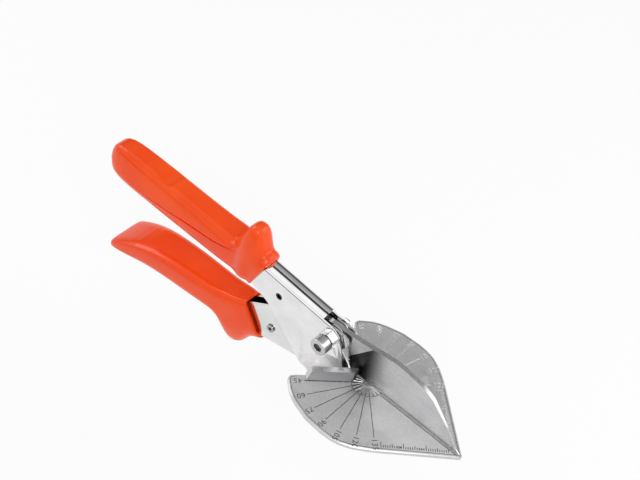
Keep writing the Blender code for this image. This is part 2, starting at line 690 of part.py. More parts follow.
lever_rivet = across("lever_rivet", TUBE_RIVET_RADIUS, TUBE_RIVET_X, TUBE_RIVET_Z, -lip_out,
                     lip_out, SMALL_SIDES)
for side in (-1, 1):
    combine(lever_rivet, across("rivet_lip_%d" % (side + 1), TUBE_RIVET_LIP, TUBE_RIVET_X,
                                TUBE_RIVET_Z, side * lip_in, side * lip_out, SMALL_SIDES),
            "UNION")
combine(lever_rivet, across("rivet_bore", TUBE_RIVET_BORE, TUBE_RIVET_X, TUBE_RIVET_Z,
                            -OVERRUN, OVERRUN, SMALL_SIDES))
keep(lever_rivet, CHROME, lever_axis)

# The blade: a flat plate with a flat grind down to the edge, ahead of the lever.
spine = [(x * BLADE_REACH, z * BLADE_HEIGHT) for x, z in BLADE_SPINE_SHARES]
tang = [(PIVOT_X + x * BLADE_TANG, PIVOT_Z + z * BLADE_TANG) for x, z in BLADE_TANG_SHARES]
blade_edge = [(BLADE_REACH, GAP), (BLADE_HEEL_SHARE * BLADE_REACH, GAP)]
blade = slab("blade", spine + blade_edge + tang, -BLADE_THICKNESS / 2, BLADE_THICKNESS / 2,
             upright=True)
rear, high = [(x * BLADE_REACH, z * BLADE_HEIGHT) for x, z in BLADE_GRIND_SHARES]
for side in (-1, 1):
    flat = side * BLADE_THICKNESS / 2
    thin = side * EDGE_THICKNESS / 2
    beyond = side * OVERRUN
    lean = (flat - thin) / (GRIND_HEIGHT - GAP)
    sunk = thin - lean * OVERRUN
    ring_low = ((rear[0], sunk, GAP - OVERRUN), (BLADE_REACH + OVERRUN, sunk, GAP - OVERRUN),
                (BLADE_REACH + OVERRUN, beyond, GAP - OVERRUN),
                (rear[0], beyond, GAP - OVERRUN))
    ring_high = ((rear[0], flat, GRIND_HEIGHT), (BLADE_REACH + OVERRUN, flat, GRIND_HEIGHT),
                 (BLADE_REACH + OVERRUN, beyond, GRIND_HEIGHT),
                 (rear[0], beyond, GRIND_HEIGHT))
    combine(blade, loft("grind_%d" % (side + 1), (ring_low, ring_high)))
combine(blade, across("blade_pivot", SCREW_RADIUS + GAP, PIVOT_X, PIVOT_Z, -OVERRUN,
                      OVERRUN))
combine(blade, across("blade_pin_hole", BLADE_PIN_RADIUS + GAP, pin_x, pin_z, -OVERRUN,
                      OVERRUN, SMALL_SIDES))
keep(blade, GROUND, lever_axis)
for side, side_name in ((-1, "near"), (1, "far")):
    spacer = across("blade_spacer_" + side_name, SPACER_RADIUS, PIVOT_X,
                    PIVOT_Z, side * (BLADE_THICKNESS / 2 + GAP),
                    side * (LEVER_HALF_WIDTH - LEVER_SHEET - GAP))
    combine(spacer, across("spacer_bore_" + side_name, SCREW_RADIUS + GAP, PIVOT_X, PIVOT_Z,
                           -OVERRUN, OVERRUN))
    keep(spacer, NICKEL, lever_axis)

# The hollow spring pin across the frame, and the torsion spring wound on it.
spring_pin = across("spring_pin", SPRING_PIN_RADIUS, SPRING_PIN_X, SPRING_PIN_Z,
                    -FRAME_HALF_WIDTH, FRAME_HALF_WIDTH, SMALL_SIDES)
combine(spring_pin, across("spring_pin_bore", SPRING_PIN_BORE, SPRING_PIN_X, SPRING_PIN_Z,
                           -OVERRUN, OVERRUN, SMALL_SIDES))
keep(spring_pin, GROUND)
coil_width = COIL_TURNS * COIL_PITCH
route = [(SPRING_PIN_X + SPRING_ROOF_LEG, -coil_width / 2,
          SPRING_PIN_Z + COIL_RADIUS + SPRING_ROOF_RISE)]
steps = round(COIL_TURNS * COIL_POINTS)
for step in range(steps + 1):
    turn = math.pi / 2 + math.tau * COIL_TURNS * step / steps
    route.append((SPRING_PIN_X + COIL_RADIUS * math.cos(turn),
                  coil_width * (step / steps - 1 / 2),
                  SPRING_PIN_Z + COIL_RADIUS * math.sin(turn)))
leg_x = TUBE_RIVET_X - TUBE_RIVET_RADIUS - GAP - WIRE_RADIUS
route.append((leg_x, coil_width / 2, SPRING_PIN_Z - SPRING_FOOT_LEG))
wire = bpy.data.curves.new("return_spring", "CURVE")
wire.dimensions = "3D"
wire.bevel_depth = WIRE_RADIUS
wire.bevel_resolution = 1
wire.use_fill_caps = True
run = wire.splines.new("POLY")
run.points.add(len(route) - 1)
for point, place in zip(run.points, route):
    point.co = (*place, 1)
return_spring = bpy.data.objects.new("return_spring", wire)
keep(return_spring, GROUND)
turn_gap = COIL_PITCH - 2 * WIRE_RADIUS
print("least gap between the spring's turns: %.5f m" % turn_gap)


def grip_rings(shares, start, length, height, half_width, roundness):
    """Sections of a grip, each leaning from its lower point to its upper one."""
    rings = []
    for top_back, top_up, low_back, low_up, width, waist in shares:
        top = Vector((-start - top_back * length, 0, top_up * height))
        low = Vector((-start - low_back * length, 0, low_up * height))
        middle = low + (top - low) * waist
        ring = []
        for index in range(GRIP_SIDES):
            turn = math.tau * index / GRIP_SIDES
            reach = top - middle if math.sin(turn) > 0 else middle - low
            power = 2 / (roundness[0] if math.sin(turn) > 0 else roundness[1])
            out = math.copysign(abs(math.cos(turn)) ** power, math.cos(turn))
            up = math.copysign(abs(math.sin(turn)) ** power, math.sin(turn))
            ring.append(middle + reach * up + Vector((0, out * width * half_width, 0)))
        rings.append(ring)
    return rings


# The upper grip, with a pocket that follows the frame's tang.
upper_grip = loft("upper_grip", grip_rings(UPPER_GRIP_SHARES, UPPER_GRIP_START,
                                           UPPER_GRIP_LENGTH, GUARD_HEIGHT,
                                           UPPER_GRIP_HALF_WIDTH, UPPER_ROUNDNESS_SHARES))
pocket_top = [(x, z + GAP) for x, z in crown_line]
pocket_low = [(x, z - GAP) for x, z in under_line]
pocket_top[0] = (pocket_top[0][0] - GAP, pocket_top[0][1])
pocket_low[0] = (pocket_low[0][0] - GAP, pocket_low[0][1])
combine(upper_grip, slab("upper_pocket", pocket_top + pocket_low[::-1],
                         -FRAME_HALF_WIDTH - GAP, FRAME_HALF_WIDTH + GAP, upright=True))

# Its cushion overhangs a narrower core on both sides.
under_cushion = [(-UPPER_GRIP_START - back * UPPER_GRIP_LENGTH, up * GUARD_HEIGHT)
                 for back, up in CUSHION_LEDGE_SHARES]
combine(upper_grip, slab("core_near", under_cushion, -UPPER_GRIP_HALF_WIDTH - OVERRUN,
                         -UPPER_CORE_HALF_WIDTH, upright=True))
combine(upper_grip, slab("core_far", under_cushion, UPPER_CORE_HALF_WIDTH,
                         UPPER_GRIP_HALF_WIDTH + OVERRUN, upright=True))
keep(upper_grip, ORANGE)

# The lower grip, with a pocket that follows the lever's tang.
lower_grip = loft("lower_grip", grip_rings(LOWER_GRIP_SHARES, LOWER_GRIP_START,
                                           LOWER_GRIP_LENGTH, LOWER_GRIP_DEPTH,
                                           LOWER_GRIP_HALF_WIDTH, LOWER_ROUNDNESS_SHARES))
pocket_top = shifted(lever_top[:7], GAP)
pocket_low = shifted(lever_under[2:], GAP)
pocket_top[0] = (pocket_top[0][0] - GAP, pocket_top[0][1])
pocket_low[-1] = (pocket_low[-1][0] - GAP, pocket_low[-1][1])
combine(lower_grip, slab("lower_pocket", pocket_top + pocket_low, -LEVER_HALF_WIDTH - GAP,
                         LEVER_HALF_WIDTH + GAP, upright=True))
keep(lower_grip, ORANGE, lever_axis)
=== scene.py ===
# Mitre shears with orange sleeved handles, seen closed from the near side and above.
# Every length is in metres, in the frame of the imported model: the origin is the lower end
# of the fence's stem, +X runs along the blade to the tip, and +Y to the far wing.
import math

import bmesh
import bpy
from mathutils import Matrix, Vector


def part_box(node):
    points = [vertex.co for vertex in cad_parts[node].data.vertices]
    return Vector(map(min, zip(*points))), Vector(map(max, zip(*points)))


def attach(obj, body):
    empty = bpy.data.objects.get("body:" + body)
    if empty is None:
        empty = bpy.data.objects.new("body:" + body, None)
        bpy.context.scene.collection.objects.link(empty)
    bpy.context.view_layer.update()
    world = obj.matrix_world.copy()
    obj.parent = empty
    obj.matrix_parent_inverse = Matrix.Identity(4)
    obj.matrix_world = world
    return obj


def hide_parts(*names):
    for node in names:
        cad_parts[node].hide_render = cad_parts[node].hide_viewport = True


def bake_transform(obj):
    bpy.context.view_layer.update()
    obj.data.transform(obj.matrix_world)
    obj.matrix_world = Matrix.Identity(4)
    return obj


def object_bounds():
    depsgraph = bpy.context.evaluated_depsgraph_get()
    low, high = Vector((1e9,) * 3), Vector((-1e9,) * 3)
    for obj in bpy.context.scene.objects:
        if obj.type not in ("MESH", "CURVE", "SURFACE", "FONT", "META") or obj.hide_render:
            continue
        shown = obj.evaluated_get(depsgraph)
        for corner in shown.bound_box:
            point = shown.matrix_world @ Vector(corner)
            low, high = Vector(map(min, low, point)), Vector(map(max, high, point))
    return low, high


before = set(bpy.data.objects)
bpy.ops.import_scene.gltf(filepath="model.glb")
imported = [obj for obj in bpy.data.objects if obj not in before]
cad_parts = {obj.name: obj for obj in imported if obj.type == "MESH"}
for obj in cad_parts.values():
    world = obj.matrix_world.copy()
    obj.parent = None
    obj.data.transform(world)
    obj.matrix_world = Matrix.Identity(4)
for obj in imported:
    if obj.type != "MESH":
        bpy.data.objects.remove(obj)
cad_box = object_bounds()

# The camera stands in front of the near wing and well above it, with a long lens, as the
# photograph's does. It is placed from the centre of the fence's hub on the plate's top.
PLATE_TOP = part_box("base_plate")[1].z
CAMERA_AZIMUTH = math.radians(32.1654)
CAMERA_HEIGHT_ANGLE = math.radians(46.5868)
CAMERA_ROLL = math.radians(12.4666)
CAMERA_DISTANCE = 0.6
FOCAL_PIXELS = 1335.042
HUB_PIXEL = (367.989, 382.742)
PICTURE_SIZE = (640, 480)
SENSOR_WIDTH = 36

flat_right = Vector((math.cos(CAMERA_AZIMUTH), math.sin(CAMERA_AZIMUTH), 0))
backward = Vector((math.sin(CAMERA_AZIMUTH) * math.cos(CAMERA_HEIGHT_ANGLE),
                   -math.cos(CAMERA_AZIMUTH) * math.cos(CAMERA_HEIGHT_ANGLE),
                   math.sin(CAMERA_HEIGHT_ANGLE)))
flat_up = backward.cross(flat_right)
right = math.cos(CAMERA_ROLL) * flat_right + math.sin(CAMERA_ROLL) * flat_up
upward = math.cos(CAMERA_ROLL) * flat_up - math.sin(CAMERA_ROLL) * flat_right
place = Vector((0, 0, PLATE_TOP)) + CAMERA_DISTANCE * backward
place -= (HUB_PIXEL[0] - PICTURE_SIZE[0] / 2) / FOCAL_PIXELS * CAMERA_DISTANCE * right
place += (HUB_PIXEL[1] - PICTURE_SIZE[1] / 2) / FOCAL_PIXELS * CAMERA_DISTANCE * upward
lens = bpy.data.cameras.new("camera")
lens.sensor_width = SENSOR_WIDTH
lens.lens = FOCAL_PIXELS * SENSOR_WIDTH / PICTURE_SIZE[0]
lens.clip_start = 0.01
camera = bpy.data.objects.new("camera", lens)
camera.matrix_world = Matrix(((right.x, upward.x, backward.x, place.x),
                              (right.y, upward.y, backward.y, place.y),
                              (right.z, upward.z, backward.z, place.z),
                              (0, 0, 0, 1)))
bpy.context.scene.collection.objects.link(camera)
bpy.context.scene.camera = camera
bpy.context.scene.view_settings.view_transform = "Standard"

# The studio: a white room with soft boxes. The camera sees plain white. Polished metal
# also sees the dark gaps between the boxes, as bands across the shears from near to far.
BOX_BANDS = (
    (-90, 0.70), (-12, 0.70), (-9, 0.02), (8, 0.02), (11, 1.0), (28, 1.0), (34, 0.85),
    (50, 0.85), (56, 1.0), (113, 1.0), (117, 0.01), (121, 0.01), (124, 0.50), (131, 0.34),
    (139, 0.16), (146, 0.02), (158, 0.02), (168, 0.60), (180, 0.75),
)
BAND_START = -90
BAND_SPAN = 270
BOX_LEVEL = 1.2
ROOM_LEVEL = 0.54
LAMPS = (
    ("front_box", (0.42, -0.52, 0.62), 0.36, 2.5),
    ("side_box", (0.56, 0.52, 0.42), 0.62, 2.7),
    ("rear_box", (-0.80, -0.16, 0.46), 0.40, 1.8),
)


def ranged(tree, source, taken, given):
    """A value taken from one range and given in another, each with its low and high end."""
    step = tree.nodes.new("ShaderNodeMapRange")
    for name, end in zip(("From Min", "From Max", "To Min", "To Max"), (*taken, *given)):
        step.inputs[name].default_value = end
    tree.links.new(source, step.inputs["Value"])
    return step


studio = bpy.data.worlds.new("studio")
bpy.context.scene.world = studio
studio.use_nodes = True
nodes = studio.node_tree.nodes
links = studio.node_tree.links
direction = nodes.new("ShaderNodeTexCoord")
split = nodes.new("ShaderNodeSeparateXYZ")
links.new(direction.outputs["Generated"], split.inputs[0])
nearness = nodes.new("ShaderNodeMath")
nearness.operation = "MULTIPLY"
nearness.inputs[1].default_value = -1
links.new(split.outputs["Y"], nearness.inputs[0])
height = nodes.new("ShaderNodeMath")
height.operation = "ARCTAN2"
links.new(split.outputs["Z"], height.inputs[0])
links.new(nearness.outputs[0], height.inputs[1])
share = ranged(studio.node_tree, height.outputs[0],
               (math.radians(BAND_START), math.radians(BAND_START + BAND_SPAN)), (0, 1))
bands = nodes.new("ShaderNodeValToRGB")
for index, (degrees, level) in enumerate(BOX_BANDS):
    spot = (degrees - BAND_START) / BAND_SPAN
    if index < 2:
        stop = bands.color_ramp.elements[index]
        stop.position = spot
    else:
        stop = bands.color_ramp.elements.new(spot)
    stop.color = (level, level, level, 1)
links.new(share.outputs["Result"], bands.inputs["Fac"])
room = nodes["Background"]
room.inputs["Color"].default_value = (1, 1, 1, 1)
room.inputs["Strength"].default_value = ROOM_LEVEL
boxes = nodes.new("ShaderNodeBackground")
boxes.inputs["Strength"].default_value = BOX_LEVEL
links.new(bands.outputs["Color"], boxes.inputs["Color"])
seen_white = nodes.new("ShaderNodeBackground")
seen_white.inputs["Color"].default_value = (1, 1, 1, 1)
ray = nodes.new("ShaderNodeLightPath")
glossy_or_not = nodes.new("ShaderNodeMixShader")
links.new(ray.outputs["Is Glossy Ray"], glossy_or_not.inputs["Fac"])
links.new(room.outputs[0], glossy_or_not.inputs[1])
links.new(boxes.outputs[0], glossy_or_not.inputs[2])
camera_or_not = nodes.new("ShaderNodeMixShader")
links.new(ray.outputs["Is Camera Ray"], camera_or_not.inputs["Fac"])
links.new(glossy_or_not.outputs[0], camera_or_not.inputs[1])
links.new(seen_white.outputs[0], camera_or_not.inputs[2])
links.new(camera_or_not.outputs[0], nodes["World Output"].inputs["Surface"])
for name, corner, size, power in LAMPS:
    lamp = bpy.data.lights.new(name, "AREA")
    lamp.size = size
    lamp.energy = power
    holder = bpy.data.objects.new(name, lamp)
    holder.location = corner
    holder.rotation_euler = Vector(corner).to_track_quat("Z", "Y").to_euler()
    bpy.context.scene.collection.objects.link(holder)

# The floor: a plain pale sheet, which keeps a soft shadow and glows towards the camera. It
# is low enough for the lower handle to open above it.
FLOOR_DROP = 0.057
FLOOR_SIZE = 8
FLOOR_GLOW = 0.86
bpy.ops.object.select_all(action="DESELECT")
bpy.ops.mesh.primitive_plane_add(size=FLOOR_SIZE, location=(0, 0, cad_box[0].z - FLOOR_DROP))
floor = bpy.context.object
floor.name = "floor"
paper = bpy.data.materials.new("pale_paper")
paper.use_nodes = True
nodes = paper.node_tree.nodes
links = paper.node_tree.links
nodes["Principled BSDF"].inputs["Base Color"].default_value = (0.92, 0.92, 0.92, 1)
nodes["Principled BSDF"].inputs["Roughness"].default_value = 0.9
lit = nodes.new("ShaderNodeEmission")
lit.inputs["Color"].default_value = (1, 1, 1, 1)
lit.inputs["Strength"].default_value = 1
ray = nodes.new("ShaderNodeLightPath")
seen = nodes.new("ShaderNodeMath")
seen.operation = "MAXIMUM"
links.new(ray.outputs["Is Camera Ray"], seen.inputs[0])
links.new(ray.outputs["Is Glossy Ray"], seen.inputs[1])
amount = nodes.new("ShaderNodeMath")
amount.operation = "MULTIPLY"
amount.inputs[1].default_value = FLOOR_GLOW
links.new(seen.outputs[0], amount.inputs[0])
floor_look = nodes.new("ShaderNodeMixShader")
links.new(amount.outputs[0], floor_look.inputs["Fac"])
links.new(nodes["Principled BSDF"].outputs[0], floor_look.inputs[1])
links.new(lit.outputs[0], floor_look.inputs[2])
links.new(floor_look.outputs[0], nodes["Material Output"].inputs["Surface"])
floor.data.materials.append(paper)

# The frame channel: one steel sheet folded into an upturned channel with flared feet. It is
# polished and chromed after pressing, so its folds mirror the room in bands. Its front lips
# below the crown are given a dark finish, a painted shade.
NOISE_MIDDLE = (0.3, 0.7)
GRAIN_DETAIL = 5
CLOUD_SCALE = 90
CLOUD_DETAIL = 3
CLOUD_TONES = (0.93, 1.05)
MERGE_REACH = 0.00001
FOOT_START = 0.0080
LIP_BACK = -0.0165
LIP_TOP = 0.022
LIP_FACING = 0.25
WALL_START = 0.03
WALL_MARGIN = 0.00005


def noise(tree, where, scale, detail):
    """Cloudy marks: the higher the scale, the finer they are."""
    marks = tree.nodes.new("ShaderNodeTexNoise")
    marks.inputs["Scale"].default_value = scale
    marks.inputs["Detail"].default_value = detail
    tree.links.new(where, marks.inputs["Vector"])
    return marks


def multiplied(tree, share):
    """A node that multiplies a colour, its input A, by a share."""
    mix = tree.nodes.new("ShaderNodeMix")
    mix.data_type = "RGBA"
    mix.blend_type = "MULTIPLY"
    mix.inputs["Factor"].default_value = 1
    tree.links.new(share.outputs["Result"], mix.inputs["B"])
    return mix


def embossed(tree, marks, depth):
    """Presses the marks into the surface, this deep."""
    relief = tree.nodes.new("ShaderNodeBump")
    relief.inputs["Strength"].default_value = 1
    relief.inputs["Distance"].default_value = depth
    tree.links.new(marks.outputs["Fac"], relief.inputs["Height"])
    tree.links.new(relief.outputs["Normal"], tree.nodes["Principled BSDF"].inputs["Normal"])


def metal(name, colour, roughness, grain, spread, depth, metallic=1):
    """A metal whose fine marks follow one direction: grain is the marks' size along X, Y, Z."""
    made = bpy.data.materials.new(name)
    made.use_nodes = True
    tree = made.node_tree
    shader = tree.nodes["Principled BSDF"]
    shader.inputs["Metallic"].default_value = metallic
    point = tree.nodes.new("ShaderNodeTexCoord")
    lay = tree.nodes.new("ShaderNodeMapping")
    lay.inputs["Scale"].default_value = [1 / size for size in grain]
    tree.links.new(point.outputs["Object"], lay.inputs["Vector"])
    marks = noise(tree, lay.outputs[0], 1, GRAIN_DETAIL)
    cloud = noise(tree, point.outputs["Object"], CLOUD_SCALE, CLOUD_DETAIL)
    rough = ranged(tree, marks.outputs["Fac"], NOISE_MIDDLE,
                   (roughness - spread, roughness + spread))
    tree.links.new(rough.outputs["Result"], shader.inputs["Roughness"])
    tint = multiplied(tree, ranged(tree, cloud.outputs["Fac"], NOISE_MIDDLE, CLOUD_TONES))
    tint.inputs["A"].default_value = (*colour, 1)
    marked = multiplied(tree, ranged(tree, marks.outputs["Fac"], NOISE_MIDDLE,
                                     (1 - spread, 1 + spread)))
    tree.links.new(tint.outputs["Result"], marked.inputs["A"])
    tree.links.new(marked.outputs["Result"], shader.inputs["Base Color"])
    embossed(tree, marks, depth)
    return made


def picked(piece):
    """Makes a piece the active object, with nothing else selected."""
    bpy.ops.object.select_all(action="DESELECT")
    bpy.context.view_layer.objects.active = piece
    piece.select_set(True)


def applied(piece, kind, **settings):
    """Gives a piece a modifier with these settings, and applies it."""
    picked(piece)
    step = piece.modifiers.new(kind, kind)
    for name, value in settings.items():
        setattr(step, name, value)
    bpy.ops.object.modifier_apply(modifier=step.name)


def worked_copy(node, name, flat=0.6):
    """A node's form as one merged mesh, to be worked on, with nothing selected in it."""
    piece = bpy.data.objects.new(name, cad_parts[node].data.copy())
    bpy.context.scene.collection.objects.link(piece)
    picked(piece)
    piece.data.materials.clear()
    bpy.ops.mesh.customdata_custom_splitnormals_clear()
    bpy.ops.object.mode_set(mode="EDIT")
    bpy.ops.mesh.select_all(action="SELECT")
    bpy.ops.mesh.remove_doubles(threshold=MERGE_REACH)
    bpy.ops.mesh.dissolve_limited(angle_limit=math.radians(flat))
    bpy.ops.mesh.select_all(action="DESELECT")
    bpy.ops.object.mode_set(mode="OBJECT")
    return piece


def broken_edges(piece, width, steps=2, fold=40, smooth=35, level=True):
    """Edges sharper than the fold angle are broken, and the rest is shaded smooth. A level
    piece keeps its wide faces flat up to the broken edge."""
    picked(piece)
    if width:
        applied(piece, "BEVEL", width=width, segments=steps, limit_method="ANGLE",
                angle_limit=math.radians(fold), use_clamp_overlap=True)
    bpy.ops.object.shade_smooth_by_angle(angle=math.radians(smooth))
    if width and level:
        applied(piece, "WEIGHTED_NORMAL", keep_sharp=True)


def fit_out(piece, finish, body, node):
    """A finished piece gets its finish, rides on its body and stands for its node."""
    if finish:
        piece.data.materials.clear()
        piece.data.materials.append(finish)
    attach(piece, body)
    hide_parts(node)


chrome = metal("polished_chrome", (0.78, 0.78, 0.785), 0.07, (0.020, 0.0012, 0.0012), 0.02,
               0.0000004)
pressed = metal("pressed_foot", (0.80, 0.80, 0.805), 0.5, (0.0012, 0.0012, 0.0012), 0.05,
                0.0000006, metallic=0.2)
lip_shade_finish = metal("painted_lip_shade", (0.20, 0.20, 0.205), 0.3, (0.0008, 0.0008, 0.0008), 0.1, 0.000002)
channel = worked_copy("frame_channel", "frame_sheet", 0.05)
broken_edges(channel, 0.00015, 2, 40, 40, level=False)
for finish in (chrome, pressed, lip_shade_finish):
    channel.data.materials.append(finish)
channel_half = max(point.co.y for point in channel.data.vertices if point.co.z > WALL_START)
for face in channel.data.polygons:
    below_crown = face.center.z < PLATE_TOP + LIP_TOP
    # Painted shade: the front lips below the crown take the dark finish.
    if face.center.x > LIP_BACK and face.normal.x > LIP_FACING and below_crown:
        face.material_index = 2
    spread_out = abs(face.center.y) > channel_half + WALL_MARGIN
    if spread_out and face.center.z < PLATE_TOP + FOOT_START:
        face.material_index = 1
fit_out(channel, None, "frame", "frame_channel")

# The lever channel: a second folded sheet, nested in the first and chromed as well, but
# rubbed dull by use. A nickelled eyelet, worn darker, is pressed through its walls.
SHEET_BREAK = 0.0001
dull_chrome = metal("dull_chrome", (0.72, 0.72, 0.725), 0.14, (0.020, 0.0012, 0.0012), 0.03,
                    0.0000006)
worn_nickel_and_socket_shade = metal("worn_nickel_and_painted_socket_shade", (0.40, 0.40, 0.405), 0.3, (0.0008, 0.0008, 0.0008), 0.1, 0.000002)
lever_sheet = worked_copy("lever_channel", "lever_sheet")
broken_edges(lever_sheet, SHEET_BREAK)
fit_out(lever_sheet, dull_chrome, "lever", "lever_channel")
eyelet = worked_copy("lever_rivet", "lever_eyelet")
broken_edges(eyelet, SHEET_BREAK)
fit_out(eyelet, worn_nickel_and_socket_shade, "lever", "lever_rivet")

# The plate: laser cut steel, tumbled to a satin face, with degree lines, their numbers and
# a ruler engraved in it. The near wing's engraving is dark, and the far wing's is coloured
# bright, a painted highlight.
LINE_ANGLES = ((-135, "45"), (-120, "60"), (-105, "75"), (-90, "90"), (-75, "105"),
               (-60, "120"), (-45, "135"))
LINE_START = 0.0082
LINE_END = 0.0293
LINE_WIDTH = 0.00032
NUMBER_START = 0.0300
NUMBER_HEIGHT = 0.0026
ENGRAVED_DEPTH = 0.00016
RULER_ZERO = Vector((0.0486, -0.0025))
RULER_THREE = Vector((0.0260, -0.0225))
TICK_WIDTH = 0.00032
TICKS = 31
TICKS_PER_METRE = 1000
TICK_LENGTHS = ((10, 0.00275), (5, 0.0019), (1, 0.0013))
RULER_NUMBERS = (10, 20)
RULER_NUMBER_AHEAD = 0.00195
RULER_NUMBER_INWARD = 0.0001
RULER_NUMBER_HEIGHT = 0.0018
DIGIT_SHARE = 0.7
DIGIT_SPACING = 1.1
RIM_LINE = (
    (-25.5, 20.8), (-26.9, 22.8), (-26.4, 25.0), (-22.0, 28.9), (-18.6, 31.0), (-15.0, 32.5),
    (-7.0, 34.8), (2.0, 35.4), (8.0, 35.0), (12.0, 34.0), (17.0, 31.6), (23.0, 27.3),
    (27.0, 24.0), (52.4, 1.7),
)
RIM_INSET = 0.0011
RIM_WIDTH = 0.00022
GROOVE_HALF = 0.0007
GROOVE_BREAK = 0.0004
GROOVE_LINE_SHARE = 1.3
GROOVE_ENDS = (0.0084, 0.0520)
MM = 0.001

satin = metal("satin_steel", (0.61, 0.61, 0.615), 0.38, (0.0007, 0.0007, 0.0007), 0.08,
              0.0000012, metallic=0.75)
# Dark: the engraving's colour, and also lines of painted shade and shadow on plate and fence.
dark_engraving_and_shade = metal("dark_engraving_and_painted_shade", (0.10, 0.10, 0.105), 0.5, (0.0005, 0.0005, 0.0005),
                 0.1, 0.000002)
# Bright: a painted highlight, in the far wing's engraving, the groove's chamfer and the fence's
# strokes.
painted_highlight_lining = metal("painted_highlight_engraving", (0.80, 0.80, 0.80), 0.32, (0.0005, 0.0005, 0.0005),
                  0.1, 0.000002)


def engraved_bar(start, end, width):
    """A bar that cuts one engraved line, from start to end on the plate's top."""
    way = end - start
    middle = (start + end) / 2
    bpy.ops.mesh.primitive_cube_add(size=1, location=(middle.x, middle.y, PLATE_TOP),
                                    rotation=(0, 0, math.atan2(way.y, way.x)),
                                    scale=(way.length, width, ENGRAVED_DEPTH * 2))
    return bpy.context.object


def engraved_number(words, spot, turn, height):
    """Digits that cut an engraved number, with the middle of their left side at spot."""
    letters = bpy.data.curves.new("number_" + words, "FONT")
    letters.body = words
    letters.size = height / DIGIT_SHARE
    letters.align_y = "CENTER"
    letters.space_character = DIGIT_SPACING
    letters.extrude = ENGRAVED_DEPTH
    drawn = bpy.data.objects.new("number_" + words, letters)
    drawn.location = (spot.x, spot.y, PLATE_TOP)
    drawn.rotation_euler = (0, 0, turn)
    bpy.context.scene.collection.objects.link(drawn)
    picked(drawn)
    bpy.ops.object.convert(target="MESH")
    bpy.ops.object.mode_set(mode="EDIT")
    bpy.ops.mesh.select_all(action="SELECT")
    bpy.ops.mesh.remove_doubles(threshold=MERGE_REACH)
    bpy.ops.object.mode_set(mode="OBJECT")
    return bpy.context.object


def engraved(piece, cuts, name, finish):
    """Cuts a group of bars and digits out of a piece, and lines the cuts with a finish."""
    for cut in cuts:
        cut.data.materials.clear()
        cut.data.materials.append(finish)
    picked(cuts[0])
    for cut in cuts:
        cut.select_set(True)
    bpy.ops.object.join()
    tool = bpy.context.object
    tool.name = name
    applied(piece, "BOOLEAN", object=tool, material_mode="TRANSFER", use_self=True)
    bpy.data.objects.remove(tool)


bpy.ops.object.select_all(action="DESELECT")
dark_cuts = []
bright_cuts = []
for degrees, words in LINE_ANGLES:
    turn = math.radians(degrees)
    for cuts, side in ((dark_cuts, 1), (bright_cuts, -1)):
        way = Vector((math.cos(turn), side * math.sin(turn)))
        cuts.append(engraved_bar(way * LINE_START, way * LINE_END, LINE_WIDTH))
        cuts.append(engraved_number(words, way * NUMBER_START, side * turn, NUMBER_HEIGHT))
ruler_way = (RULER_THREE - RULER_ZERO).normalized()
inward = Vector((ruler_way.y, -ruler_way.x))
for tick in range(TICKS):
    length = next(length for step, length in TICK_LENGTHS if tick % step == 0)
    foot = RULER_ZERO + ruler_way * tick / TICKS_PER_METRE
    for cuts, side in ((dark_cuts, 1), (bright_cuts, -1)):
        cuts.append(engraved_bar(Vector((foot.x, side * foot.y)),
                                 Vector((foot.x + inward.x * length,
                                         side * (foot.y + inward.y * length))), TICK_WIDTH))
    if tick in RULER_NUMBERS:
        spot = foot + ruler_way * RULER_NUMBER_AHEAD + inward * RULER_NUMBER_INWARD
        dark_cuts.append(engraved_number(str(tick // 10), spot, math.atan2(inward.y, inward.x),
                                         RULER_NUMBER_HEIGHT))
for side in (-1, 1):
    rim = [Vector((x, y * side)) * MM for x, y in RIM_LINE]
    inner = []
    for index, point in enumerate(rim):
        way = rim[min(index + 1, len(rim) - 1)] - rim[max(index - 1, 0)]
        way.normalize()
        inner.append(point + Vector((way.y, -way.x)) * RIM_INSET * side)
    # A dark line just inside the rim: painted shade where the rim's chamfer begins.
    for start, end in zip(inner, inner[1:]):
        dark_cuts.append(engraved_bar(start, end, RIM_WIDTH))
    # Beside the groove: a dark line of painted shadow, and a chamfer lined with the bright painted
    # highlight.
    edge = side * (GROOVE_HALF + GROOVE_BREAK * GROOVE_LINE_SHARE)
    dark_cuts.append(engraved_bar(Vector((GROOVE_ENDS[0], edge)), Vector((GROOVE_ENDS[1], edge)),
                                  RIM_WIDTH))
    bpy.ops.mesh.primitive_cube_add(size=1, rotation=(math.pi / 4, 0, 0),
                                    location=(sum(GROOVE_ENDS) / 2, side * GROOVE_HALF, PLATE_TOP),
                                    scale=(GROOVE_ENDS[1] - GROOVE_ENDS[0],
                                           GROOVE_BREAK * math.sqrt(2),
                                           GROOVE_BREAK * math.sqrt(2)))
    bright_cuts.append(bpy.context.object)
plate = worked_copy("base_plate", "engraved_plate")
plate.data.materials.append(satin)
engraved(plate, bright_cuts, "bright_cuts", painted_highlight_lining)
engraved(plate, dark_cuts, "dark_cuts", dark_engraving_and_shade)
broken_edges(plate, 0)
fit_out(plate, None, "frame", "base_plate")

